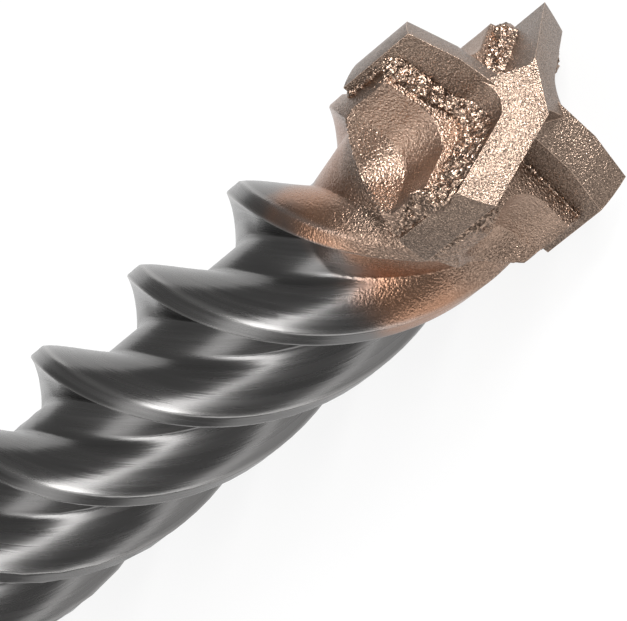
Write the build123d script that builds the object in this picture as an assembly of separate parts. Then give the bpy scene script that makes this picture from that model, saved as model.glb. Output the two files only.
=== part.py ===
"""Masonry drill bit, 12 mm, with a four-edged carbide tip and a four-start flute. Millimetres.

The bit lies along X with its cutting tip toward +X and its struck end face at the origin. Angles run
about the axis from +Y toward +Z, so a right-hand flute gains angle toward the tip.
"""
from build123d import *
import math
import os

# Whole bit
OVERALL_LENGTH = 160.0
CUTTING_DIAMETER = 12.0

# Shank with a struck end, two drive grooves open at the end and two closed lock grooves
SHANK_DIAMETER = 10.0
END_CHAMFER = 1.0
DRIVE_GROOVE_WIDTH = 3.6
DRIVE_GROOVE_DEPTH = 1.9
DRIVE_GROOVE_LENGTH = 29.0
LOCK_GROOVE_RADIUS = 3.5
LOCK_GROOVE_DEPTH = 1.5
LOCK_GROOVE_START = 9.0
LOCK_GROOVE_END = 28.0

# Neck and flute, a right-hand helix with four ribs
NECK_END = 58.0
NECK_CONE = 1.5
LAND_DIAMETER = 10.6
CORE_DIAMETER = 6.2
FLUTE_STARTS = 4
FLUTE_LEAD = 34.0
FLUTE_RUNOUT = 11.0
RIB_LEAD = 10.1
BACK_FLANK_SWEEP = 11.0
BACK_FLANK_HOOK = 1.0
FLOOR_SWEEP = 50.0
SHOULDER_SWEEP = 78.0
FRONT_FLANK_BULGE = 0.25

# Head, measured back from the plane of the four cutting corners
HEAD_DIAMETER = 11.2
HEAD_LENGTH = 6.7
HEAD_SWELL = 1.2
HEAD_RAMP = 6.0
HEAD_TOP_OUTER = 2.35
HEAD_TOP_INNER = 1.6
RAMP_TOP_RADIUS = 4.3

# Pockets, milled into the head between the arms
POCKET_LEAD_WALL = 1.6
POCKET_HEEL_WALL = 1.4
POCKET_CORNER = 1.8
POCKET_STRAIGHT = 4.9
POCKET_END_SLOPE = 1.7

# Cross-shaped carbide tip, one plate through each pair of arms, and the braze that holds it
TIP_ROTATION = 43.5
CROSS_ANGLE = 93.0
PLATE_THICKNESS = 1.6
PLATE_DEPTH = 5.4
INNER_FILLET = 1.5
MAIN_EDGE_SLOPE = 18.8
MAIN_RELIEF = 26.5
SIDE_CORNER_DROP = 0.25
SIDE_EDGE_SLOPE = 18.0
SIDE_BEND_RADIUS = 3.6
SIDE_INNER_SLOPE = 5.0
SIDE_RELIEF = 33.0
BRAZE_GAP = 0.15
RAKE_BEAD_WIDTH = 0.5
RAKE_BEAD_HEIGHT = 0.35
HEEL_BEAD_WIDTH = 0.55
HEEL_BEAD_HEIGHT = 0.8

CUTTING_RADIUS = CUTTING_DIAMETER / 2
SHANK_RADIUS = SHANK_DIAMETER / 2
LAND_RADIUS = LAND_DIAMETER / 2
CORE_RADIUS = CORE_DIAMETER / 2
HEAD_RADIUS = HEAD_DIAMETER / 2
RIB_PITCH = 360.0 / FLUTE_STARTS
ARM_ANGLES = [TIP_ROTATION + turn for turn in (0, CROSS_ANGLE, 180, 180 + CROSS_ANGLE)]

# The point stands this far in front of the corner plane
POINT_HEIGHT = (CUTTING_RADIUS * math.tan(math.radians(MAIN_EDGE_SLOPE))
                - PLATE_THICKNESS / 2 * math.tan(math.radians(MAIN_RELIEF)))
CORNER_X = OVERALL_LENGTH - POINT_HEIGHT
HEAD_START = CORNER_X - HEAD_LENGTH
BEYOND = 2 * CUTTING_RADIUS


def polar(radius, degrees):
    """A point in the cross-section, by radius and angle."""
    angle = math.radians(degrees)
    return (radius * math.cos(angle), radius * math.sin(angle))


def across_at(x, turn):
    """A plane across the bit at x, with its own X at an angle about the axis."""
    angle = math.radians(turn)
    return Plane(origin=(x, 0, 0), x_dir=(0, math.cos(angle), math.sin(angle)), z_dir=(1, 0, 0))


def turned(points):
    """A solid of revolution about the bit's axis from (x, radius) points."""
    return revolve(make_face(Polyline(*points, close=True)), axis=Axis.X)


def twisted(face, start, end, turn_at_end):
    """A section that follows the flute's helix and stands at a given turn at its end."""
    twist = 360.0 * (end - start) / FLUTE_LEAD
    placed = across_at(start, turn_at_end - twist) * face
    return Solid.extrude_linear_with_rotation(placed.face(), (start, 0, 0), (end - start, 0, 0), twist)


def back_flank(base, foot_radius):
    """The steep side of a rib, slightly hooked, from its sharp edge down to the groove's floor."""
    middle = polar((LAND_RADIUS + foot_radius) / 2, base + BACK_FLANK_SWEEP / 2 - BACK_FLANK_HOOK)
    return Spline(polar(LAND_RADIUS, base), middle, polar(foot_radius, base + BACK_FLANK_SWEEP))


def rod_section():
    """The fluted rod's cross-section: for each rib a steep flank, a round floor, a flank and a land."""
    edges = []
    for rib in range(FLUTE_STARTS):
        base = rib * RIB_PITCH
        root = polar(CORE_RADIUS, base + FLOOR_SWEEP)
        shoulder = polar(LAND_RADIUS, base + SHOULDER_SWEEP)
        mid_flank = polar((CORE_RADIUS + LAND_RADIUS) / 2 + FRONT_FLANK_BULGE,
                          base + (FLOOR_SWEEP + SHOULDER_SWEEP) / 2)
        floor_middle = polar(CORE_RADIUS, base + (BACK_FLANK_SWEEP + FLOOR_SWEEP) / 2)
        land_middle = polar(LAND_RADIUS, base + (SHOULDER_SWEEP + RIB_PITCH) / 2)
        edges.append(back_flank(base, CORE_RADIUS))
        edges.append(ThreePointArc(polar(CORE_RADIUS, base + BACK_FLANK_SWEEP), floor_middle, root))
        edges.append(ThreePointArc(root, mid_flank, shoulder))
        edges.append(ThreePointArc(shoulder, land_middle, polar(LAND_RADIUS, base + RIB_PITCH)))
    return make_face(edges)


def drive_groove():
    """A flat-bottomed groove, open at the struck end, with a round far end."""
    floor = SHANK_RADIUS - DRIVE_GROOVE_DEPTH
    straight = DRIVE_GROOVE_LENGTH - DRIVE_GROOVE_WIDTH / 2
    lift = floor + BEYOND / 2
    slot = Pos(straight / 2, 0, lift) * Box(straight, DRIVE_GROOVE_WIDTH, BEYOND)
    return slot + Pos(straight, 0, lift) * Cylinder(DRIVE_GROOVE_WIDTH / 2, BEYOND)


def lock_groove():
    """A trough for the locking ball, closed at both ends."""
    height = SHANK_RADIUS - LOCK_GROOVE_DEPTH + LOCK_GROOVE_RADIUS
    reach = math.sqrt(LOCK_GROOVE_RADIUS ** 2 - (LOCK_GROOVE_RADIUS - LOCK_GROOVE_DEPTH) ** 2)
    first = LOCK_GROOVE_START + reach
    last = LOCK_GROOVE_END - reach
    trough = Pos((first + last) / 2, 0, height) * Rot(0, 90, 0) * Cylinder(LOCK_GROOVE_RADIUS, last - first)
    for x in (first, last):
        trough += Pos(x, 0, height) * Sphere(LOCK_GROOVE_RADIUS)
    return trough


def shank_and_neck():
    """The turned shank and neck, with the cone that the flutes run out on."""
    body = turned([
        (0, 0), (0, SHANK_RADIUS - END_CHAMFER), (END_CHAMFER, SHANK_RADIUS),
        (NECK_END - NECK_CONE, SHANK_RADIUS), (NECK_END, LAND_RADIUS),
        (NECK_END + FLUTE_RUNOUT, CORE_RADIUS), (NECK_END + FLUTE_RUNOUT, 0),
    ])
    for side in (0, 180):
        body -= Rot(side, 0, 0) * drive_groove()
        body -= Rot(side + 90, 0, 0) * lock_groove()
    return body


def head_blank():
    """The round head, with the ramp that ends the flutes and the coned top that carries the tip."""
    return turned([
        (HEAD_START - HEAD_RAMP, 0), (HEAD_START - HEAD_RAMP, CORE_RADIUS), (HEAD_START, RAMP_TOP_RADIUS),
        (HEAD_START + HEAD_SWELL, HEAD_RADIUS), (CORNER_X - HEAD_TOP_OUTER, HEAD_RADIUS),
        (CORNER_X - HEAD_TOP_INNER, 0),
    ])


def pocket(arm):
    """The dust pocket between an arm and the next one: a wall along each arm, a round inner corner and a
    sloping end toward the flute."""
    lead_side = ARM_ANGLES[arm]
    heel_side = (ARM_ANGLES + [ARM_ANGLES[0] + 360])[arm + 1]
    spread = math.radians(heel_side - lead_side)
    # The walls stand off the two arms, so they cross at this reach along the leading arm
    reach = (POCKET_HEEL_WALL + POCKET_LEAD_WALL * math.cos(spread)) / math.sin(spread)
    corner = Vector(reach, POCKET_LEAD_WALL)
    along_lead = Vector(BEYOND, 0)
    along_heel = Vector(BEYOND * math.cos(spread), BEYOND * math.sin(spread))
    section = make_face(Polyline(corner, corner + along_lead, corner + along_lead + along_heel,
                                 corner + along_heel, close=True))
    back = CORNER_X - POCKET_STRAIGHT - POCKET_END_SLOPE
    tool = extrude(across_at(back, lead_side) * section, OVERALL_LENGTH + 1 - back)
    tool = fillet(nearest_edges(tool.edges().filter_by(Axis.X))[:1], POCKET_CORNER)
    return chamfer(nearest_edges(tool.faces().sort_by(Axis.X)[0].edges())[:3], POCKET_END_SLOPE)


def nearest_edges(edges):
    """Edges in order of their middles' distance from the bit's axis."""
    return sorted(edges, key=lambda edge: math.hypot(edge.center().Y, edge.center().Z))


def plate(angle, thickness, back):
    """One flat plate across the whole bit, its length toward an arm, from a place to past the tip."""
    length = OVERALL_LENGTH + 1 - back
    return Rot(angle, 0, 0) * Pos(back + length / 2, 0, 0) * Box(length, 2 * BEYOND, thickness)


def heel_corners(cross):
    """The two inner corners of a cross of plates that lie behind its main arms."""
    inner = nearest_edges(cross.edges().filter_by(Axis.X))[:4]
    turns = [math.degrees(math.atan2(edge.center().Z, edge.center().Y)) - TIP_ROTATION for edge in inner]
    return [edge for edge, turn in zip(inner, turns) if turn % 180 < CROSS_ANGLE]


def under_edge(angle, edge, relief):
    """Everything under the ground faces of one arm.

    The edge is a line of (x, reach) points on the arm's leading side. Behind it the faces fall away by
    the relief angle, and the line is closed far below the edge.
    """
    fall = math.tan(math.radians(relief))
    lift = (BEYOND - PLATE_THICKNESS / 2) * fall
    deep = CORNER_X - 3 * BEYOND
    outline = [(x + lift, reach, BEYOND) for x, reach in [(deep, edge[0][1])] + edge + [(deep, edge[-1][1])]]
    face = make_face(Polyline(*outline, close=True))
    return Rot(angle, 0, 0) * extrude(face, amount=2 * BEYOND * math.hypot(1, fall), dir=(-fall, 0, -1))


def main_edge():
    """The straight edge of a main arm, carried on past the axis so that two of them cross in a chisel."""
    slope = math.tan(math.radians(MAIN_EDGE_SLOPE))
    return [(CORNER_X + slope * (CUTTING_RADIUS - reach), reach) for reach in (2 * BEYOND, -2 * BEYOND)]


def side_edge():
    """The bent edge of a side arm: it rises from its corner to a bend and is nearly level inside it."""
    outer = math.tan(math.radians(SIDE_EDGE_SLOPE))
    inner = math.tan(math.radians(SIDE_INNER_SLOPE))
    bend = CORNER_X - SIDE_CORNER_DROP + outer * (CUTTING_RADIUS - SIDE_BEND_RADIUS)
    axis = bend + inner * SIDE_BEND_RADIUS
    high = OVERALL_LENGTH + BEYOND
    return [(bend - outer * (2 * BEYOND - SIDE_BEND_RADIUS), 2 * BEYOND), (bend, SIDE_BEND_RADIUS),
            (axis, 0), (high, -0.01), (high, -2 * BEYOND)]


def centre_web(back, front):
    """The middle of the cross that the main faces run on over: each main arm's heel corner, cut off by a
    slant across the side arm."""
    half = PLATE_THICKNESS / 2
    far = half + INNER_FILLET
    outline = make_face(Polyline((-half, 0), (-half, -half), (half, -far), (far, -half), (far, 0), close=True))
    web = extrude(across_at(back, ARM_ANGLES[1]) * outline, front - back)
    return web + Rot(180, 0, 0) * web


def carbide_tip():
    """A filleted cross of two plates, its main arms ground to a chisel and its side arms lower."""
    back = CORNER_X - PLATE_DEPTH
    front = OVERALL_LENGTH + 1
    barrel = turned([(back, 0), (back, CUTTING_RADIUS), (front, CUTTING_RADIUS), (front, 0)])
    side = plate(ARM_ANGLES[0], PLATE_THICKNESS, back)
    main = plate(ARM_ANGLES[1], PLATE_THICKNESS, back)
    cross = main + side
    cross = fillet(heel_corners(cross), INNER_FILLET)
    chisel = (under_edge(ARM_ANGLES[1], main_edge(), MAIN_RELIEF)
              & under_edge(ARM_ANGLES[3], main_edge(), MAIN_RELIEF))
    sides = (under_edge(ARM_ANGLES[0], side_edge(), SIDE_RELIEF)
             & under_edge(ARM_ANGLES[2], side_edge(), SIDE_RELIEF))
    centre = (cross & centre_web(back, front)) + main
    return (centre & chisel & barrel) + (side & sides & barrel)


def slot():
    """The crossed slot that the tip is brazed into, wider and deeper than its plates by the braze."""
    back = CORNER_X - PLATE_DEPTH - BRAZE_GAP
    thickness = PLATE_THICKNESS + 2 * BRAZE_GAP
    cross = plate(ARM_ANGLES[0], thickness, back) + plate(ARM_ANGLES[1], thickness, back)
    return fillet(heel_corners(cross), INNER_FILLET - BRAZE_GAP)


def unslotted_body():
    """The one-piece steel bit before its slot is milled: shank, neck, flute and head with pockets."""
    rib_angle = ARM_ANGLES[0] + RIB_LEAD
    rod_end = HEAD_START + HEAD_SWELL
    overrun = 360.0 * HEAD_SWELL / FLUTE_LEAD
    body = shank_and_neck() + twisted(rod_section(), NECK_END, rod_end, rib_angle + overrun) + head_blank()
    for arm in range(len(ARM_ANGLES)):
        body -= pocket(arm)
    return body


def bead(angle, side, width, height):
    """A fillet of braze on the head's coned top, along the leading (1) or heel (-1) side of an arm."""
    slope = (HEAD_TOP_OUTER - HEAD_TOP_INNER) / HEAD_RADIUS
    foot = side * PLATE_THICKNESS / 2
    top = CORNER_X - HEAD_TOP_INNER
    wedge = [(top - height, 0, foot), (top + height, 0, foot), (top, 0, foot + side * width),
             (top - height, 0, foot + side * width)]
    length = (HEAD_RADIUS - BRAZE_GAP) * math.hypot(1, slope)
    prism = extrude(make_face(Polyline(*wedge, close=True)), amount=length, dir=(-slope, 1, 0))
    return Rot(angle, 0, 0) * prism


def whole_bit():
    """The three pieces of the bit, each in its place."""
    body = unslotted_body()
    milled = slot()
    tip = carbide_tip()
    steel = body - milled
    braze = body & milled
    for angle in ARM_ANGLES:
        braze += bead(angle, 1, RAKE_BEAD_WIDTH, RAKE_BEAD_HEIGHT)
        braze += bead(angle, -1, HEEL_BEAD_WIDTH, HEEL_BEAD_HEIGHT)
    return {"steel_body": steel, "carbide_tip": tip, "braze_filler": braze - steel - tip}


parts = whole_bit()

os.makedirs("parts", exist_ok=True)
for name, shape in parts.items():
    export_step(shape, "parts/" + name + ".step")
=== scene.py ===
"""A masonry drill bit seen close up on its cutting head, laid out as a Blender add-on and run as a script."""

import math

import bmesh
import bpy
import numpy as np
from bpy.props import FloatProperty, FloatVectorProperty, PointerProperty
from mathutils import Matrix, Vector


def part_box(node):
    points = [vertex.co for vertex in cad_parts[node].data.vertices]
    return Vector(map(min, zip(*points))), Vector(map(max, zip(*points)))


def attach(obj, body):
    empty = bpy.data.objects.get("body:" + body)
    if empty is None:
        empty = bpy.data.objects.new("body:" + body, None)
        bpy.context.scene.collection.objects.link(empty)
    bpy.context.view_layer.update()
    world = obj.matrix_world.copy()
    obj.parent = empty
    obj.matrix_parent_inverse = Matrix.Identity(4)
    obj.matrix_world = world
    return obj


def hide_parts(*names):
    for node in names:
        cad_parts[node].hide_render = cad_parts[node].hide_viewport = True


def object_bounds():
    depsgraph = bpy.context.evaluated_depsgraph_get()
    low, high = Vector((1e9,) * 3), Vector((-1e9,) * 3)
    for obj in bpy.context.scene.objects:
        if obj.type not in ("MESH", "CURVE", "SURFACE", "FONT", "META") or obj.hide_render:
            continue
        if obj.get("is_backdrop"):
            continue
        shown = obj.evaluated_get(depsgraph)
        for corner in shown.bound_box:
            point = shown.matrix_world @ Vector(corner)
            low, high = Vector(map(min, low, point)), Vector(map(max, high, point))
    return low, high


bl_info = {
    "name": "Masonry Drill Bit",
    "version": (1, 0, 0),
    "blender": (4, 5, 0),
    "location": "View3D > Sidebar > Drill Bit",
    "description": "Dresses a packed masonry drill bit with its finishes and its photo studio",
    "category": "Add Mesh",
}

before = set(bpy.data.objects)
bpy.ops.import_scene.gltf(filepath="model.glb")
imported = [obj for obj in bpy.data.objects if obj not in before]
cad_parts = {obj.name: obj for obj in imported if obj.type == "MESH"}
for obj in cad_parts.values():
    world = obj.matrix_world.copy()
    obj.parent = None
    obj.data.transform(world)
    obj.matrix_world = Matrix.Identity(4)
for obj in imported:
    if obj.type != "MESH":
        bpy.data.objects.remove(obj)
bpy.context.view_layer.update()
MM = 0.001

# The photograph's frame in pixels
PHOTO_WIDTH = 627
PHOTO_HEIGHT = 621

# The photograph's place of the head's centre, where the axis meets the plane of the cutting corners
HEAD_PIXEL = (520.603, 102.970)

# The bit's own sizes in millimetres, as its solids have them. The corner plane lies behind the point.
TIP_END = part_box("carbide_tip")[1][0]
POINT_HEIGHT = 0.001644
CUTTING_RADIUS = 0.006
CORNER_X = (TIP_END - POINT_HEIGHT) / MM
HEAD_START = CORNER_X - 6.7
LAND_RADIUS = 5.3
CORE_RADIUS = 3.1
HEAD_RADIUS = 5.6
NECK_END = 58.0
RUNOUT = 11.0
BACK_SWEEP = 11.0
FLOOR_SWEEP = 50.0
SHOULDER_SWEEP = 78.0
TOP_OUTER = 2.35
TOP_INNER = 1.6
POCKET_LEAD = 1.6
POCKET_HEEL = 1.4
POCKET_CORNER = 1.8
POCKET_SLOPE = 1.7
STRAIGHT_X = CORNER_X - 4.9
PLATE = 1.6
PLATE_DEPTH = 5.4

# Grooves of the shank in millimetres: half the width, floor and inner end of a drive groove, then the radius,
# axis height and two ends of a lock groove's trough
DRIVE_HALF = 1.8
DRIVE_FLOOR = 3.1
DRIVE_ROUND = 27.2
LOCK_RADIUS = 3.5
LOCK_HEIGHT = 7.0
LOCK_ENDS = (9.0, 28.0)

# Depth over which a pocket leans in, and how much it leans there and where it ends
LEAN_DEPTH = 2.8
LEAN = 0.12
END_LEAN = 0.7

# Rows of the skin on the head's side and on its top, and how far their shared edge is cut back
SIDE_ROWS = 27
TOP_ROWS = 24
RIM_EASE = 0.07

# Points of a seam up the head's side, along an arm and round the plates' inner corner
SEAM_RISE = 40
SEAM_RUN = 70
SEAM_TURN = 36

# Angles about the axis in degrees: the four arms, and the first rib's edge where the flute meets the head
ARM_ANGLES = (43.5, 136.5, 223.5, 316.5)
RIB_ANGLE = 53.6


class BitFinishSettings(bpy.types.PropertyGroup):
    """Colours and sizes of the bit's finishes."""

    steel_colour: FloatVectorProperty(
        name="Steel colour", description="Polished dark steel of the flutes", subtype="COLOR", size=3,
        min=0, max=1, default=(0.155, 0.152, 0.15))
    bronze_colour: FloatVectorProperty(
        name="Bronze colour", description="Blasted and heat-tinted steel of the head", subtype="COLOR",
        size=3, min=0, max=1, default=(0.27, 0.19, 0.145))
    copper_colour: FloatVectorProperty(
        name="Copper colour", description="Copper-toned band where the tint fades", subtype="COLOR", size=3,
        min=0, max=1, default=(0.4, 0.215, 0.135))
    carbide_colour: FloatVectorProperty(
        name="Carbide colour", description="Blasted hard metal of the tip", subtype="COLOR", size=3,
        min=0, max=1, default=(0.215, 0.157, 0.122))
    braze_colour: FloatVectorProperty(
        name="Braze colour", description="Rough copper braze", subtype="COLOR", size=3,
        min=0, max=1, default=(0.31, 0.222, 0.17))
    tint_end: FloatProperty(
        name="Tint end", description="Where the copper tint has faded, from the struck end", unit="LENGTH",
        subtype="DISTANCE", default=0.1445)
    flute_lead: FloatProperty(
        name="Flute lead", description="Length of one full turn of the flute", unit="LENGTH",
        subtype="DISTANCE", default=0.034)
    tip_edge: FloatProperty(
        name="Tip edge", description="Width of the tip's eased edges", unit="LENGTH", subtype="DISTANCE",
        precision=5, default=0.00005)
    grain_size: FloatProperty(
        name="Grain size", description="Size of the blasted grain", unit="LENGTH", subtype="DISTANCE",
        precision=5, default=0.0001)


class StageSettings(bpy.types.PropertyGroup):
    """The floor, lamps and camera."""

    floor_colour: FloatVectorProperty(
        name="Floor colour", description="Plain pale floor", subtype="COLOR", size=3, min=0, max=1,
        default=(0.9, 0.9, 0.9))
    floor_size: FloatProperty(
        name="Floor size", description="Width of the floor", unit="LENGTH", subtype="DISTANCE", default=6.0)
    view_tilt: FloatProperty(
        name="View tilt", description="Angle between the bit's axis and the picture plane", subtype="ANGLE",
        unit="ROTATION", default=math.radians(45.346))
    view_roll: FloatProperty(
        name="View roll", description="Slope of the bit's axis in the picture", subtype="ANGLE",
        unit="ROTATION", default=math.radians(38.914))
    view_turn: FloatProperty(
        name="View turn", description="How far the bit is turned about its axis toward the camera",
        subtype="ANGLE", unit="ROTATION", default=math.radians(153.9))
    view_distance: FloatProperty(
        name="View distance", description="From the camera to the head", unit="LENGTH", subtype="DISTANCE",
        default=0.36)
    pixels_per_radius: FloatProperty(
        name="Pixels per radius", description="Picture size of the cutting radius at the head",
        default=136.849)


# The point that the lamps face, and how far off they stand
HEAD_CENTRE = (0.145, 0.0, 0.0)
LAMP_DISTANCE = 0.6


# Node trees

def add_node(tree, kind, inputs=(), **settings):
    """Adds one node. inputs holds (socket, value or output to join) pairs, the rest are its settings."""
    made = tree.nodes.new(kind)
    for name, value in settings.items():
        setattr(made, name, value)
    for socket, value in inputs:
        if isinstance(value, bpy.types.NodeSocket):
            tree.links.new(value, made.inputs[socket])
        else:
            made.inputs[socket].default_value = value
    return made


def math_node(tree, operation, first, second=0.0, third=0.0, clamp=False):
    """One Math node's output."""
    made = add_node(tree, "ShaderNodeMath", [(0, first), (1, second), (2, third)], operation=operation,
                    use_clamp=clamp)
    return made.outputs[0]


def ramp(tree, value, low, high):
    """A smooth step of value from 0 at low to 1 at high."""
    made = add_node(tree, "ShaderNodeMapRange", [(0, value), (1, low), (2, high)],
                    interpolation_type="SMOOTHSTEP")
    return made.outputs[0]


def blend_colours(tree, factor, first, second):
    """A Mix node on colours."""
    made = add_node(tree, "ShaderNodeMix", data_type="RGBA")
    for socket, value in ((0, factor), (6, first), (7, second)):
        if isinstance(value, bpy.types.NodeSocket):
            tree.links.new(value, made.inputs[socket])
        elif socket == 0:
            made.inputs[socket].default_value = value
        else:
            made.inputs[socket].default_value = (*value, 1.0)
    return made.outputs[2]


def shade(colour, factor):
    """A colour made darker or lighter."""
    return tuple(factor * channel for channel in colour)


def new_group(name, inputs, outputs):
    """An empty node group with float or vector sockets, and its two end nodes."""
    tree = bpy.data.node_groups.new(name, "ShaderNodeTree")
    for socket, kind in inputs:
        tree.interface.new_socket(socket, in_out="INPUT", socket_type=kind)
    for socket, kind in outputs:
        tree.interface.new_socket(socket, in_out="OUTPUT", socket_type=kind)
    return tree, tree.nodes.new("NodeGroupInput"), tree.nodes.new("NodeGroupOutput")


def make_blast_group():
    """Blasted grain: craters over finer noise as a height, tiny bright flecks, and broad patches."""
    tree, source, result = new_group(
        "Blasted grain", [("Position", "NodeSocketVector"), ("Grain", "NodeSocketFloat")],
        [("Height", "NodeSocketFloat"), ("Fleck", "NodeSocketFloat"), ("Patch", "NodeSocketFloat")])
    scale = math_node(tree, "DIVIDE", 1.0, source.outputs["Grain"])
    where = source.outputs["Position"]
    pits = add_node(tree, "ShaderNodeTexVoronoi", [("Vector", where), ("Scale", scale)],
                    feature="SMOOTH_F1").outputs["Distance"]
    fine = math_node(tree, "MULTIPLY", scale, 0.8)
    rough = add_node(tree, "ShaderNodeTexNoise", [("Vector", where), ("Scale", fine), ("Detail", 2.0),
                                                  ("Roughness", 0.7)]).outputs[0]
    patch_scale = math_node(tree, "MULTIPLY", scale, 0.08)
    patch = add_node(tree, "ShaderNodeTexNoise", [("Vector", where), ("Scale", patch_scale),
                                                  ("Detail", 4.0)]).outputs[0]
    height = math_node(tree, "MULTIPLY_ADD", pits, 0.7, rough)
    fleck_scale = math_node(tree, "MULTIPLY", scale, 1.1)
    fleck = ramp(tree, add_node(tree, "ShaderNodeTexNoise", [("Vector", where), ("Scale", fleck_scale),
                                                             ("Detail", 1.5)]).outputs[0], 0.36, 0.66)
    for socket, value in (("Height", height), ("Fleck", fleck), ("Patch", patch)):
        tree.links.new(value, result.inputs[socket])
    return tree


def make_flute_group():
    """Coordinates that follow the flute: the point is turned back about X by one turn for each lead."""
    tree, source, result = new_group(
        "Flute coordinates", [("Position", "NodeSocketVector"), ("Lead", "NodeSocketFloat")],
        [("Untwisted", "NodeSocketVector"), ("Along", "NodeSocketFloat"), ("Radius", "NodeSocketFloat")])
    where = source.outputs["Position"]
    parts = add_node(tree, "ShaderNodeSeparateXYZ", [(0, where)])
    turns = math_node(tree, "DIVIDE", parts.outputs[0], source.outputs["Lead"])
    angle = math_node(tree, "MULTIPLY", turns, -2 * math.pi)
    turned = add_node(tree, "ShaderNodeVectorRotate", [("Vector", where), ("Angle", angle)],
                      rotation_type="X_AXIS").outputs[0]
    cross = add_node(tree, "ShaderNodeCombineXYZ", [(1, parts.outputs[1]), (2, parts.outputs[2])]).outputs[0]
    radius = add_node(tree, "ShaderNodeVectorMath", [(0, cross)], operation="LENGTH").outputs["Value"]
    tree.links.new(turned, result.inputs["Untwisted"])
    tree.links.new(parts.outputs[0], result.inputs["Along"])
    tree.links.new(radius, result.inputs["Radius"])
    return tree


def group_node(tree, group, inputs):
    """Places a shared node group in a material with its own values."""
    made = tree.nodes.new("ShaderNodeGroup")
    made.node_tree = group
    for socket, value in inputs:
        if isinstance(value, bpy.types.NodeSocket):
            tree.links.new(value, made.inputs[socket])
        else:
            made.inputs[socket].default_value = value
    return made


def shared(name, maker):
    """A node group by name, made the first time it is asked for."""
    return bpy.data.node_groups.get(name) or maker()


def start_material(name):
    """A new material with its node tree, its shader and the object's own coordinates."""
    made = bpy.data.materials.new(name)
    made.use_nodes = True
    tree = made.node_tree
    shader = tree.nodes["Principled BSDF"]
    where = add_node(tree, "ShaderNodeTexCoord").outputs["Object"]
    return made, tree, shader, where


def bump(tree, shader, height, distance):
    """A Bump node into the shader's normal."""
    made = add_node(tree, "ShaderNodeBump", [("Strength", 1.0), ("Distance", distance), ("Height", height)])
    tree.links.new(made.outputs[0], shader.inputs["Normal"])


def steel_material(settings):
    """Dark polished flutes with streaks along the helix, fading through copper to a blasted bronze head."""
    made, tree, shader, where = start_material("blasted_and_polished_steel")
    flute = group_node(tree, shared("Flute coordinates", make_flute_group),
                       [("Position", where), ("Lead", settings.flute_lead)])
    grain = group_node(tree, shared("Blasted grain", make_blast_group),
                       [("Position", where), ("Grain", settings.grain_size)])
    along = flute.outputs["Along"]
    squeezed = add_node(tree, "ShaderNodeVectorMath",
                        [(0, flute.outputs["Untwisted"]), (1, (0.06, 1.0, 1.0))],
                        operation="MULTIPLY").outputs[0]
    streak = add_node(tree, "ShaderNodeTexNoise", [("Vector", squeezed), ("Scale", 1800.0), ("Detail", 4.0),
                                                   ("Roughness", 0.65)]).outputs[0]
    cloud = add_node(tree, "ShaderNodeTexNoise",
                     [("Vector", where), ("Scale", 260.0), ("Detail", 3.0)]).outputs[0]
    shifted = math_node(tree, "MULTIPLY_ADD", cloud, 0.006, along)
    tint = ramp(tree, shifted, settings.tint_end + 0.003, settings.tint_end + 0.007)
    head = ramp(tree, shifted, settings.tint_end + 0.0055, settings.tint_end + 0.0105)
    dark = blend_colours(tree, streak, shade(settings.steel_colour, 0.72), shade(settings.steel_colour, 1.35))
    copper = blend_colours(tree, tint, dark, tuple(settings.copper_colour))
    dull = blend_colours(tree, grain.outputs["Patch"], shade(settings.bronze_colour, 0.5),
                         shade(settings.bronze_colour, 0.85))
    bronze = blend_colours(tree, grain.outputs["Fleck"], dull, shade(settings.bronze_colour, 1.5))
    finish = blend_colours(tree, head, copper, bronze)
    # Lightened steel: worn rib crests in the flute are real wear, and the pockets' walls in the head carry a
    # painted highlight.
    worn_and_highlit = add_node(tree, "ShaderNodeAttribute", attribute_name="wear_and_highlight").outputs["Fac"]
    worn_and_highlit = math_node(tree, "MULTIPLY", worn_and_highlit, math_node(tree, "MULTIPLY_ADD", cloud, 1.2, 0.1), clamp=True)
    # Silver bare steel on the worn crests, and brighter bronze in the head as the painted highlight on the
    # pockets' walls.
    bare_and_highlight_colour = blend_colours(tree, head, (0.5, 0.49, 0.48), shade(settings.bronze_colour, 1.7))
    colour = blend_colours(tree, worn_and_highlit, finish, bare_and_highlight_colour)
    tree.links.new(colour, shader.inputs["Base Color"])
    shader.inputs["Metallic"].default_value = 1.0
    smooth = math_node(tree, "MULTIPLY_ADD", streak, 0.2, 0.17)
    coarse = math_node(tree, "MULTIPLY_ADD", grain.outputs["Fleck"], -0.08, 0.34)
    blasted = math_node(tree, "MAXIMUM", head, math_node(tree, "MULTIPLY", tint, 0.45))
    roughness = add_node(tree, "ShaderNodeMix", [(0, blasted), (2, smooth), (3, coarse)]).outputs[0]
    tree.links.new(roughness, shader.inputs["Roughness"])
    fine = math_node(tree, "MULTIPLY", streak, 0.25)
    height = add_node(tree, "ShaderNodeMix",
                      [(0, blasted), (2, fine), (3, grain.outputs["Height"])]).outputs[0]
    bump(tree, shader, height, 0.00006)
    return made


def carbide_material(settings):
    """Blasted hard metal with a fine crater grain."""
    made, tree, shader, where = start_material("blasted_carbide")
    grain = group_node(tree, shared("Blasted grain", make_blast_group),
                       [("Position", where), ("Grain", settings.grain_size * 0.8)])
    colour = blend_colours(tree, grain.outputs["Patch"], shade(settings.carbide_colour, 0.5),
                           shade(settings.carbide_colour, 0.85))
    flecked = blend_colours(tree, grain.outputs["Fleck"], colour, shade(settings.carbide_colour, 1.5))
    # The eased edges are lightened: partly worn edges, partly a painted highlight along every edge.
    worn_and_highlit = add_node(tree, "ShaderNodeAttribute", attribute_name="wear_and_highlight").outputs["Fac"]
    bright = blend_colours(tree, worn_and_highlit, flecked, shade(settings.carbide_colour, 3.4))
    tree.links.new(bright, shader.inputs["Base Color"])
    shader.inputs["Metallic"].default_value = 1.0
    roughness = math_node(tree, "MULTIPLY_ADD", grain.outputs["Fleck"], -0.08, 0.34)
    tree.links.new(roughness, shader.inputs["Roughness"])
    bump(tree, shader, grain.outputs["Height"], 0.00006)
    return made


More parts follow.
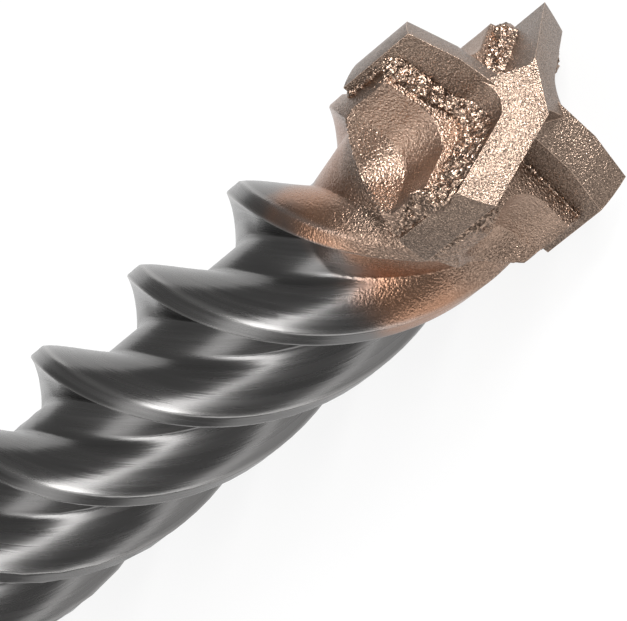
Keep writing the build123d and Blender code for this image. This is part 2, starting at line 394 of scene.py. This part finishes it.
def braze_material(settings):
    """Rough copper braze with glittering crystals."""
    made, tree, shader, where = start_material("rough_copper_braze")
    grain = group_node(tree, shared("Blasted grain", make_blast_group),
                       [("Position", where), ("Grain", settings.grain_size * 1.6)])
    colour = blend_colours(tree, grain.outputs["Fleck"], shade(settings.braze_colour, 0.4),
                           shade(settings.braze_colour, 1.6))
    tree.links.new(colour, shader.inputs["Base Color"])
    shader.inputs["Metallic"].default_value = 1.0
    roughness = math_node(tree, "MULTIPLY_ADD", grain.outputs["Fleck"], -0.15, 0.36)
    tree.links.new(roughness, shader.inputs["Roughness"])
    bump(tree, shader, grain.outputs["Height"], 0.00014)
    return made


# Surfaces

def smooth_step(value, low, high):
    """Zero below low, one above high and an S-curve between."""
    share = np.clip((value - low) / (high - low), 0.0, 1.0)
    return share * share * (3.0 - 2.0 * share)


def waves(points, size, seed, count=26):
    """A smooth random field of unit spread: the sum of cosine waves of about one length, each in its own
    direction and phase."""
    random = np.random.default_rng(seed)
    way = random.normal(size=(3, count))
    way /= np.linalg.norm(way, axis=0)
    pitch = 2 * np.pi / (size * random.uniform(0.7, 1.4, count))
    phase = random.uniform(0.0, 2 * np.pi, count)
    return np.cos(points @ (way * pitch) + phase).sum(-1) / math.sqrt(count / 2)


def eased(values, step, spread):
    """A closed ring of values with its corners eased: a Gaussian average, taken through its waves."""
    pitch = np.fft.fftfreq(values.size, step)
    return np.fft.ifft(np.fft.fft(values) * np.exp(-0.5 * (2 * np.pi * pitch * spread) ** 2)).real


def rib_profile():
    """Radius over the 90 degrees of one rib, in millimetres.

    A steep flank eases down from the edge as a power of the angle, a level floor follows, then a flank that
    bulges as a parabola and a level land. The floor's corners are eased more than the rib's edges.
    """
    angle = np.arange(0.0, 90.0, 0.05)
    depth = LAND_RADIUS - CORE_RADIUS
    back = LAND_RADIUS - depth * np.clip(angle / BACK_SWEEP, 0.0, 1.0) ** 0.775
    rise = np.clip((angle - FLOOR_SWEEP) / (SHOULDER_SWEEP - FLOOR_SWEEP), 0.0, 1.0)
    radius = np.where(angle < FLOOR_SWEEP, back, CORE_RADIUS + depth * rise + rise * (1.0 - rise))
    soft = eased(radius, 0.05, 2.0)
    crisp = eased(radius, 0.05, 0.3)
    share = smooth_step(soft, LAND_RADIUS - 1.2, LAND_RADIUS - 0.4)
    return angle, crisp * share + soft * (1.0 - share)


def column_angles():
    """Angles of the skin's columns about the axis, closest together where a rib is steep."""
    spans = ((0.0, BACK_SWEEP, 18), (BACK_SWEEP, FLOOR_SWEEP, 26), (FLOOR_SWEEP, SHOULDER_SWEEP, 26),
             (SHOULDER_SWEEP, 90.0, 10))
    rib = np.concatenate([np.linspace(low, high, count, endpoint=False) for low, high, count in spans])
    return np.concatenate([rib + 90.0 * turn for turn in range(4)])


def row_places():
    """Places of the skin's rows along the bit, closest together at the grooves' ends and in the head."""
    spans = ((1.0, 8.6, 7), (8.6, 12.4, 14), (12.4, 24.6, 6), (24.6, 29.6, 20), (29.6, 50.0, 8),
             (50.0, 56.5, 4), (56.5, 58.0, 4), (58.0, 70.0, 20), (70.0, 124.0, 42), (124.0, 143.0, 32),
             (143.0, STRAIGHT_X, 88))
    return np.concatenate([np.linspace(low, high, count, endpoint=False) for low, high, count in spans])


def pocket_radius(x, angle):
    """Distance from the axis to the nearest pocket's wall, at a place and an angle.

    A pocket is a wedge whose two walls stand off its arms, with a round inner corner. A ray from the axis
    meets a wall at its stand-off over the sine of the angle from the arm, or the corner as a ray meets a
    circle. The walls lean in a little with depth, and much more where the pocket ends toward the flute.
    """
    slope = END_LEAN * np.clip(STRAIGHT_X - x, 0.0, POCKET_SLOPE)
    closing = LEAN * np.clip(top_place(2.0) - x, 0.0, LEAN_DEPTH) + slope
    radius = np.full(np.broadcast(x, angle).shape, 60.0)
    for arm in range(4):
        spread = math.radians((ARM_ANGLES[(arm + 1) % 4] - ARM_ANGLES[arm]) % 360.0)
        turn = np.radians((angle - ARM_ANGLES[arm]) % 360.0)
        inside = (turn > 0.02) & (turn < spread - 0.02)
        turn = np.clip(turn, 0.02, spread - 0.02)
        lead = POCKET_LEAD + closing
        heel = POCKET_HEEL + closing
        corner = np.maximum(POCKET_CORNER - slope, 0.1)
        centre_y = lead + corner
        centre_x = (heel + corner + centre_y * math.cos(spread)) / math.sin(spread)
        first = np.arctan2(lead, centre_x)
        second = np.arctan2(centre_y + corner * math.cos(spread), centre_x - corner * math.sin(spread))
        along = centre_x * np.cos(turn) + centre_y * np.sin(turn)
        off = centre_x * np.sin(turn) - centre_y * np.cos(turn)
        round_part = along - np.sqrt(np.maximum(corner ** 2 - off ** 2, 0.0))
        wall = np.where(turn < first, lead / np.sin(turn), heel / np.sin(spread - turn))
        reach = np.where((turn < first) | (turn > second), wall, round_part)
        radius = np.where(inside, np.minimum(radius, reach), radius)
    return radius + 30.0 * np.clip(STRAIGHT_X - POCKET_SLOPE - x, 0.0, 1.0)


def top_place(radius):
    """How far along the bit the head's coned top is at a radius."""
    return CORNER_X - TOP_INNER - (TOP_OUTER - TOP_INNER) * radius / HEAD_RADIUS


def skin_radius(x, local, angle):
    """The body's radius: the turned outline, the ribs above the cone they run out on, the head's ramp where
    it is higher, and the pockets where they are lower."""
    outline = np.interp(x, (1.0, NECK_END - 1.5, NECK_END, NECK_END + RUNOUT),
                        (5.0, 5.0, LAND_RADIUS, CORE_RADIUS))
    table, profile = rib_profile()
    ribs = np.interp(local % 90.0, np.append(table, 90.0), np.append(profile, profile[0]))
    head = np.interp(x, (HEAD_START - 6.0, HEAD_START, HEAD_START + 1.2), (CORE_RADIUS, 4.3, HEAD_RADIUS))
    radius = np.where(x < NECK_END, outline, np.maximum(np.maximum(ribs, outline), head))
    return np.minimum(radius, pocket_radius(x, angle))


def cut_shank_grooves(points):
    """Lowers the shank's points into its grooves: flat floors under the drive keys, round troughs under the
    locking balls."""
    x, y, z = points[..., 0], points[..., 1], points[..., 2]
    half = np.sqrt(np.maximum(DRIVE_HALF ** 2 - np.maximum(x - DRIVE_ROUND, 0.0) ** 2, 0.0))
    z = np.where(np.abs(y) < half, np.sign(z) * np.minimum(np.abs(z), DRIVE_FLOOR), z)
    reach = math.sqrt(LOCK_RADIUS ** 2 - 2.0 ** 2)
    past = np.maximum(LOCK_ENDS[0] + reach - x, 0.0) + np.maximum(x - LOCK_ENDS[1] + reach, 0.0)
    trough = LOCK_HEIGHT - np.sqrt(np.maximum(LOCK_RADIUS ** 2 - z ** 2 - past ** 2, 0.0))
    y = np.sign(y) * np.minimum(np.abs(y), trough)
    return np.stack([x, y, z], -1)


def skin_points():
    """The steel body as a grid of rings, from the struck end round to the middle of the head's top.

    The columns follow the flute's helix between the shank and the head. A ring is radius times the cosine
    and sine of its columns' angles.
    """
    local = column_angles()[None, :]
    x = row_places()[:, None]
    lead = bpy.context.scene.bit_finish.flute_lead / MM
    angle = RIB_ANGLE + 360.0 * (np.clip(x, 50.0, HEAD_START) - HEAD_START) / lead + local
    radius = skin_radius(x, angle - RIB_ANGLE - 360.0 * (x - HEAD_START) / lead, angle)
    face = np.array([0.55, 0.9, 1.0])[:, None]
    ends_x = np.array([0.0, 0.0, 0.06])[:, None] + 0 * local
    head_angle = RIB_ANGLE + local
    rim = np.minimum(pocket_radius(np.array([[STRAIGHT_X + 0.1]]), head_angle), HEAD_RADIUS)
    side = np.linspace(0.0, 1.0, SIDE_ROWS)[:, None]
    side_x = STRAIGHT_X + (top_place(rim) - RIM_EASE - STRAIGHT_X) * side
    inward = (np.linspace(0.0, 1.0, TOP_ROWS + 1)[:-1, None]) ** 1.25
    cap_radius = (rim - RIM_EASE) * (1.0 - inward)
    x = np.concatenate([ends_x, x + 0 * local, side_x, top_place(cap_radius)])
    radius = np.concatenate([4.0 * face + 0 * local, radius, rim + 0 * side, cap_radius])
    angle = np.concatenate([angle[:1] + 0 * ends_x, angle, head_angle + 0 * side, head_angle + 0 * inward])
    turn = np.radians(angle)
    points = np.stack([x, radius * np.cos(turn), radius * np.sin(turn)], -1)
    shank = points[..., 0] < 30.0
    return np.where(shank[..., None], cut_shank_grooves(points), points)


def rumple(points):
    """Lets the blasted head wander a little: waves of two lengths, growing from the flute to the head."""
    share = smooth_step(points[..., 0], HEAD_START - 5.0, HEAD_START + 1.0)
    amount = 0.012 * waves(points, 2.2, 3) + 0.003 * waves(points, 0.5, 4)
    outward = points * (0.0, 1.0, 1.0)
    outward /= np.maximum(np.linalg.norm(outward, axis=-1, keepdims=True), 0.2)
    return points + outward * (share * amount)[..., None]


def wear_and_painted_highlight(points):
    """How far the body's steel is lightened, from 0 to 1: worn bare on the crest of each rib's two edges, and
    lightened on the pockets' walls as a painted highlight."""
    local = column_angles()
    crest = np.exp(-(((local + 45.0) % 90.0 - 45.0) / 1.3) ** 2)
    shoulder = 0.5 * np.exp(-((local % 90.0 - SHOULDER_SWEEP + 1.0) / 1.6) ** 2)
    along = points[..., 0]
    flute = smooth_step(along, NECK_END, NECK_END + 4.0)
    flute = flute * (1.0 - smooth_step(along, HEAD_START - 3.0, HEAD_START))
    depth = HEAD_RADIUS - np.linalg.norm(points[..., 1:], axis=-1)
    # Painted highlight: the pockets' walls below the rim are lightened.
    painted_pocket_highlight = smooth_step(depth, 0.1, 0.5) * smooth_step(along, STRAIGHT_X - POCKET_SLOPE, STRAIGHT_X)
    painted_pocket_highlight[-TOP_ROWS:] = 0.0
    return (crest + shoulder)[None, :] * flute + painted_pocket_highlight


def ring_faces(rows, columns):
    """Quads between the rings of a grid whose last column joins its first."""
    index = np.arange(rows * columns).reshape(rows, columns)
    after = np.roll(index, -1, axis=1)
    return np.stack([index[:-1], after[:-1], after[1:], index[1:]], -1).reshape(-1, 4)


def closed_mesh(name, points, ends):
    """A mesh of rings in millimetres, closed at each end by a fan to an end point. Faces point outwards."""
    rows, columns = points.shape[:2]
    corners = np.concatenate([points.reshape(-1, 3), np.array(ends)]) * MM
    faces = ring_faces(rows, columns).tolist()
    first = np.arange(columns)
    last = first + (rows - 1) * columns
    faces += np.stack([np.full(columns, rows * columns), np.roll(first, -1), first], -1).tolist()
    faces += np.stack([np.full(columns, rows * columns + 1), last, np.roll(last, -1)], -1).tolist()
    mesh = bpy.data.meshes.new(name)
    mesh.from_pydata(corners.tolist(), [], faces)
    work = bmesh.new()
    work.from_mesh(mesh)
    bmesh.ops.recalc_face_normals(work, faces=work.faces)
    work.to_mesh(mesh)
    work.free()
    return mesh


def add_piece(name, mesh, material, node):
    """Places a finished mesh as the piece that stands for a CAD node."""
    mesh.materials.clear()
    mesh.materials.append(material)
    mesh.shade_smooth()
    mesh.set_sharp_from_angle(angle=math.radians(38.0))
    piece = bpy.data.objects.new(name, mesh)
    bpy.context.scene.collection.objects.link(piece)
    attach(piece, "root")
    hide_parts(node)
    return piece


def mark_wear_and_highlight(mesh, values):
    """Stores a value for each vertex, which the material reads as its wear and its painted highlight."""
    layer = mesh.attributes.new("wear_and_highlight", "FLOAT", "POINT")
    layer.data.foreach_set("value", np.asarray(values, np.float32).ravel())


class BIT_OT_steel(bpy.types.Operator):
    """Build the one-piece steel body: grooved shank, four-start flute and milled head"""

    bl_idname = "drill_bit.steel"
    bl_label = "Steel body"

    def execute(self, context):
        points = skin_points()
        wear_and_highlight_values = np.append(wear_and_painted_highlight(points).ravel(), (0.0, 0.0))
        mesh = closed_mesh("steel_skin", rumple(points), [(0.0, 0.0, 0.0), (top_place(0.0), 0.0, 0.0)])
        mark_wear_and_highlight(mesh, wear_and_highlight_values)
        add_piece("steel_skin", mesh, steel_material(context.scene.bit_finish), "steel_body")
        return {"FINISHED"}


class BIT_OT_tip(bpy.types.Operator):
    """Build the cross-shaped carbide tip with eased edges"""

    bl_idname = "drill_bit.tip"
    bl_label = "Carbide tip"

    def execute(self, context):
        settings = context.scene.bit_finish
        work = bmesh.new()
        work.from_mesh(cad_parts["carbide_tip"].data)
        layer = work.faces.layers.float.new("wear_and_highlight")
        bmesh.ops.remove_doubles(work, verts=work.verts, dist=1e-6)
        bmesh.ops.dissolve_limit(work, angle_limit=math.radians(0.6), verts=work.verts, edges=work.edges)
        sharp = [edge for edge in work.edges
                 if len(edge.link_faces) == 2 and edge.calc_face_angle() > math.radians(30.0)]
        eased_faces = bmesh.ops.bevel(work, geom=sharp, offset=settings.tip_edge, segments=2, profile=0.5,
                                      affect="EDGES", clamp_overlap=True)["faces"]
        # Eased edges are marked for lightening, partly as wear and partly as a painted highlight.
        for face in eased_faces:
            face[layer] = 1.0
        bmesh.ops.triangulate(work, faces=work.faces)
        mesh = bpy.data.meshes.new("cross_tip")
        work.to_mesh(mesh)
        work.free()
        add_piece("cross_tip", mesh, carbide_material(settings), "carbide_tip")
        return {"FINISHED"}


def softened(values, reach):
    """A moving average along the first axis that keeps the ends."""
    padded = np.concatenate([np.repeat(values[:1], reach, 0), values, np.repeat(values[-1:], reach, 0)])
    total = np.cumsum(np.concatenate([np.zeros_like(padded[:1]), padded]), 0)
    span = 2 * reach + 1
    return (total[span:] - total[:-span]) / span


# How a bead changes along its seam, at points from the foot of the leading arm's side to that of the next
# arm's heel: width, height on the plate, reach down the pocket's wall, and roughness
BEAD_KEYS = (0, 39, 44, 72, 105, 146, 180, 212, 220, 255)
ROUGH_BEAD = ((0.3, 0.5, 0.95, 0.93, 0.6, 0.55, 0.62, 0.68, 1.25, 0.35),
              (0.08, 0.2, 0.6, 0.6, 0.5, 1.9, 1.85, 1.45, 0.4, 0.08),
              (0.0, 0.0, 1.5, 1.1, 0.1, 0.0, 0.0, 0.0, 0.0, 0.0),
              (0.7, 1.0, 1.2, 1.1, 0.7, 0.9, 1.0, 1.1, 1.3, 0.8))
FINE_BEAD = ((0.3, 0.4, 0.93, 0.9, 0.5, 0.22, 0.16, 0.16, 0.14, 0.12),
             (0.08, 0.15, 0.6, 0.7, 0.5, 0.2, 0.08, 0.06, 0.04, 0.03),
             (0.0, 0.0, 0.6, 0.7, 0.1, 0.0, 0.0, 0.0, 0.0, 0.0),
             (0.6, 0.8, 1.0, 1.2, 0.6, 0.2, 0.12, 0.12, 0.1, 0.1))


def bead_path(lead_angle, spread, corner):
    """The seam round one quadrant of the tip, with the direction away from the plate and the one out of the
    head at each point.

    It climbs the head's side along the leading arm, runs inward over the coned top, round the plates' inner
    corner, outward along the next arm's heel and down the side again.
    """
    half = PLATE / 2
    outer = math.sqrt(HEAD_RADIUS ** 2 - half ** 2)
    stand_off = half + corner
    centre = np.array([(stand_off + stand_off * math.cos(spread)) / math.sin(spread), stand_off])
    arm = np.array([math.cos(spread), math.sin(spread)])
    rise = np.linspace(CORNER_X - PLATE_DEPTH - 0.05, top_place(outer), SEAM_RISE)
    inward = np.linspace(outer, centre[0], SEAM_RUN)
    turn = np.linspace(math.pi / 2, spread - math.pi / 2, SEAM_TURN)
    heel_foot = centre - corner * np.array([math.sin(spread), -math.cos(spread)])
    run = np.linspace(0.0, outer - heel_foot @ arm, SEAM_RUN)
    flat = np.concatenate([
        np.stack([0 * rise + outer, 0 * rise + half], -1), np.stack([inward, 0 * inward + half], -1),
        centre - corner * np.stack([np.cos(turn), np.sin(turn)], -1), heel_foot + run[:, None] * arm,
        (heel_foot + run[-1] * arm) + 0 * rise[:, None] * arm])
    across = np.concatenate([
        np.tile((0.0, 1.0), (SEAM_RISE + SEAM_RUN, 1)), np.stack([np.cos(turn), np.sin(turn)], -1),
        np.tile((math.sin(spread), -math.cos(spread)), (SEAM_RISE + SEAM_RUN, 1))])
    x = top_place(np.linalg.norm(flat, axis=-1))
    x[:SEAM_RISE] = rise
    x[-SEAM_RISE:] = rise[::-1]
    top = np.zeros(len(x))
    top[SEAM_RISE:-SEAM_RISE] = 1.0
    top = softened(top, 4)
    sideways = np.where(np.arange(len(x))[:, None] < len(x) // 2, np.array([1.0, 0.0]), arm)
    place = softened(np.column_stack([x, flat]), 2)
    out = np.column_stack([top, sideways * (1.0 - top)[:, None]])
    out /= np.linalg.norm(out, axis=-1, keepdims=True)
    away = np.column_stack([0 * x, across])
    turned = math.radians(lead_angle)
    spin = np.array([[1.0, 0.0, 0.0], [0.0, math.cos(turned), math.sin(turned)],
                     [0.0, -math.sin(turned), math.cos(turned)]])
    return place @ spin, away @ spin, out @ spin


def bead_points(lead_angle, spread, corner, table, seed):
    """A bead of braze as rings along its seam.

    The profile falls from the plate as a power of the distance, bulges as half a sine, drops down the
    pocket's wall as a cube and is closed under the surface. Two fields of lumps push it in and out.
    """
    place, away, out = bead_path(lead_angle, spread, corner)
    step = np.arange(len(place))
    width, height, drop, rough = (softened(np.interp(step, BEAD_KEYS, row), 3)[:, None] for row in table)
    share = np.linspace(0.0, 1.0, 20)
    reach = width * (1.0 - (1.0 - share) ** 2)
    lift = height * (1.0 - share) ** 1.6 + 0.07 * np.sin(np.pi * share) ** 0.7 - drop * share ** 3
    hidden = np.minimum(width * 0.8, 0.5)
    reach = np.hstack([reach, hidden, hidden * 0.6, 0 * width - 0.18, 0 * width - 0.18])
    lift = np.hstack([lift, -drop - 0.12, 0 * drop - 0.4, 0 * drop - 0.4, 0.8 * height])
    lumpy = np.append(np.minimum(1.0, 0.3 + np.sin(np.pi * share)), (0.0, 0.0, 0.0, 0.0))
    points = place[:, None] + reach[..., None] * away[:, None] + lift[..., None] * out[:, None]
    lumps = 0.045 * waves(points, 0.5, seed) + 0.035 * np.abs(waves(points, 0.22, seed + 1))
    return points + (rough * lumpy * lumps)[..., None] * (out + away)[:, None]


class BIT_OT_braze(bpy.types.Operator):
    """Build the rough beads of braze round the tip"""

    bl_idname = "drill_bit.braze"
    bl_label = "Braze"

    def execute(self, context):
        work = bmesh.new()
        for arm in range(4):
            spread = math.radians((ARM_ANGLES[(arm + 1) % 4] - ARM_ANGLES[arm]) % 360.0)
            corner = 1.5 if arm % 2 == 0 else 0.25
            table = ROUGH_BEAD if arm % 2 == 0 else FINE_BEAD
            points = bead_points(ARM_ANGLES[arm], spread, corner, table, 20 + 2 * arm)
            ring = closed_mesh("bead", points, [points[0].mean(0), points[-1].mean(0)])
            work.from_mesh(ring)
            bpy.data.meshes.remove(ring)
        mesh = bpy.data.meshes.new("braze_beads")
        work.to_mesh(mesh)
        work.free()
        add_piece("braze_beads", mesh, braze_material(context.scene.bit_finish), "braze_filler")
        return {"FINISHED"}


# Stage

def camera_axes(settings):
    """The camera's right, up and back directions in the bit's frame.

    The bit's axis slopes by the roll in the picture and stands off the picture plane by the tilt. The
    other two directions follow from the turn about that axis.
    """
    tilt, roll, turn = settings.view_tilt, settings.view_roll, settings.view_turn
    axis = np.array([math.cos(tilt) * math.cos(roll), -math.cos(tilt) * math.sin(roll), -math.sin(tilt)])
    across = np.array([math.sin(roll), math.cos(roll), 0.0])
    normal = np.cross(axis, across)
    side = across * math.cos(turn) + normal * math.sin(turn)
    top = normal * math.cos(turn) - across * math.sin(turn)
    seen = np.stack([axis, side, top], 1)
    return seen.T @ np.diag([1.0, -1.0, -1.0])


def add_camera(settings):
    """The camera, placed so that the head's centre falls where the photograph shows it."""
    axes = camera_axes(settings)
    focal = settings.pixels_per_radius * settings.view_distance / CUTTING_RADIUS
    centre = np.array([TIP_END - POINT_HEIGHT, 0.0, 0.0])
    offset = np.array([HEAD_PIXEL[0] - PHOTO_WIDTH / 2, PHOTO_HEIGHT / 2 - HEAD_PIXEL[1]])
    offset = offset / focal * settings.view_distance
    place = centre - axes @ np.array([offset[0], offset[1], -settings.view_distance])
    lens = bpy.data.cameras.new("photo_camera")
    lens.sensor_width = 36.0
    lens.sensor_fit = "HORIZONTAL"
    lens.lens = focal / PHOTO_WIDTH * 36.0
    lens.clip_start = 0.01
    lens.clip_end = 50.0
    camera = bpy.data.objects.new("photo_camera", lens)
    camera.matrix_world = Matrix.Translation(Vector(place)) @ Matrix(axes.tolist()).to_4x4()
    bpy.context.scene.collection.objects.link(camera)
    bpy.context.scene.camera = camera


def add_softbox(settings, name, azimuth, elevation, width, height, strength, lean=0.0):
    """A rectangular lamp that faces the head.

    azimuth turns it from the camera's side toward the picture's right and elevation lifts it, both in
    degrees. width and height are the angles that it covers, and lean tips it over in its own plane.
    """
    axes = camera_axes(settings)
    around, up = math.radians(azimuth), math.radians(elevation)
    toward = np.array([math.sin(around) * math.cos(up), math.sin(up), math.cos(around) * math.cos(up)])
    back = Vector(axes @ toward)
    side = Vector(axes[:, 1]).cross(back).normalized()
    turn = Matrix.Rotation(math.radians(lean), 3, back)
    side = turn @ side
    lamp = bpy.data.lights.new(name, "AREA")
    lamp.shape = "RECTANGLE"
    lamp.size = 2 * LAMP_DISTANCE * math.tan(math.radians(width / 2))
    lamp.size_y = 2 * LAMP_DISTANCE * math.tan(math.radians(height / 2))
    lamp.energy = strength * math.pi * lamp.size * lamp.size_y
    made = bpy.data.objects.new(name, lamp)
    facing = Matrix((side, back.cross(side), back)).transposed()
    made.matrix_world = Matrix.Translation(Vector(HEAD_CENTRE) + back * LAMP_DISTANCE) @ facing.to_4x4()
    bpy.context.scene.collection.objects.link(made)


def floor_material(colour):
    """A pale floor that stays white to the camera and in reflections and keeps a soft shadow."""
    made, tree, shader, where = start_material("pale_floor")
    shader.inputs["Base Color"].default_value = (*colour, 1.0)
    shader.inputs["Roughness"].default_value = 0.9
    shader.inputs["Specular IOR Level"].default_value = 0.0
    rays = add_node(tree, "ShaderNodeLightPath")
    seen = math_node(tree, "MAXIMUM", rays.outputs["Is Camera Ray"], rays.outputs["Is Glossy Ray"])
    seen = math_node(tree, "MAXIMUM", seen, rays.outputs["Is Transmission Ray"])
    factor = math_node(tree, "MULTIPLY", seen, 0.88)
    white = add_node(tree, "ShaderNodeEmission", [("Color", (1.0, 1.0, 1.0, 1.0)), ("Strength", 1.0)])
    mixed = add_node(tree, "ShaderNodeMixShader",
                     [(0, factor), (1, shader.outputs[0]), (2, white.outputs[0])])
    tree.links.new(mixed.outputs[0], tree.nodes["Material Output"].inputs[0])
    return made


def add_floor(settings):
    """A square floor that the lowest rib lies on."""
    half = settings.floor_size / 2
    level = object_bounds()[0][2]
    mesh = bpy.data.meshes.new("floor")
    mesh.from_pydata([(-half, -half, level), (half, -half, level), (half, half, level), (-half, half, level)],
                     [], [(0, 1, 2, 3)])
    mesh.materials.append(floor_material(settings.floor_colour))
    floor = bpy.data.objects.new("floor", mesh)
    bpy.context.scene.collection.objects.link(floor)
    floor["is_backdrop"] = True


def light_world():
    """A soft even surround, white where the camera sees it or a transmitted ray meets it."""
    world = bpy.data.worlds.new("studio")
    bpy.context.scene.world = world
    world.use_nodes = True
    tree = world.node_tree
    back = tree.nodes["Background"]
    back.inputs["Color"].default_value = (1.0, 1.0, 1.0, 1.0)
    rays = add_node(tree, "ShaderNodeLightPath")
    seen = math_node(tree, "MAXIMUM", rays.outputs["Is Camera Ray"], rays.outputs["Is Transmission Ray"])
    strength = math_node(tree, "MULTIPLY_ADD", seen, 0.76, 0.24)
    tree.links.new(strength, back.inputs["Strength"])


class BIT_OT_stage(bpy.types.Operator):
    """Build the floor, the lamps and the camera"""

    bl_idname = "drill_bit.stage"
    bl_label = "Photo studio"

    def execute(self, context):
        settings = context.scene.bit_stage
        scene = context.scene
        scene.view_settings.view_transform = "Standard"
        add_camera(settings)
        add_floor(settings)
        light_world()
        add_softbox(settings, "key_softbox", 7.0, 44.0, 30.0, 28.0, 32.0)
        add_softbox(settings, "left_strip", -58.0, -4.0, 18.0, 44.0, 6.0, -12.0)
        add_softbox(settings, "low_left", -88.0, -36.0, 56.0, 22.0, 1.3, 35.0)
        add_softbox(settings, "low_wide", -10.0, -64.0, 110.0, 20.0, 1.7)
        return {"FINISHED"}


class BIT_PT_panel(bpy.types.Panel):
    """Lists the bit's finishes and its stage"""

    bl_idname = "BIT_PT_panel"
    bl_label = "Drill Bit"
    bl_space_type = "VIEW_3D"
    bl_region_type = "UI"
    bl_category = "Drill Bit"

    def draw(self, context):
        for owner in (context.scene.bit_finish, context.scene.bit_stage):
            for name in owner.bl_rna.properties.keys():
                if name not in {"rna_type", "name"}:
                    self.layout.prop(owner, name)
        for step in STEPS:
            self.layout.operator("drill_bit." + step)


STEPS = ("steel", "tip", "braze", "stage")
CLASSES = (BitFinishSettings, StageSettings, BIT_OT_steel, BIT_OT_tip, BIT_OT_braze, BIT_OT_stage,
           BIT_PT_panel)


def register():
    for made in CLASSES:
        bpy.utils.register_class(made)
    bpy.types.Scene.bit_finish = PointerProperty(type=BitFinishSettings)
    bpy.types.Scene.bit_stage = PointerProperty(type=StageSettings)


def unregister():
    del bpy.types.Scene.bit_stage
    del bpy.types.Scene.bit_finish
    for made in reversed(CLASSES):
        bpy.utils.unregister_class(made)


def main():
    """Registers the add-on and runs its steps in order."""
    register()
    for step in STEPS:
        getattr(bpy.ops.drill_bit, step)()


if __name__ == "__main__":
    main()
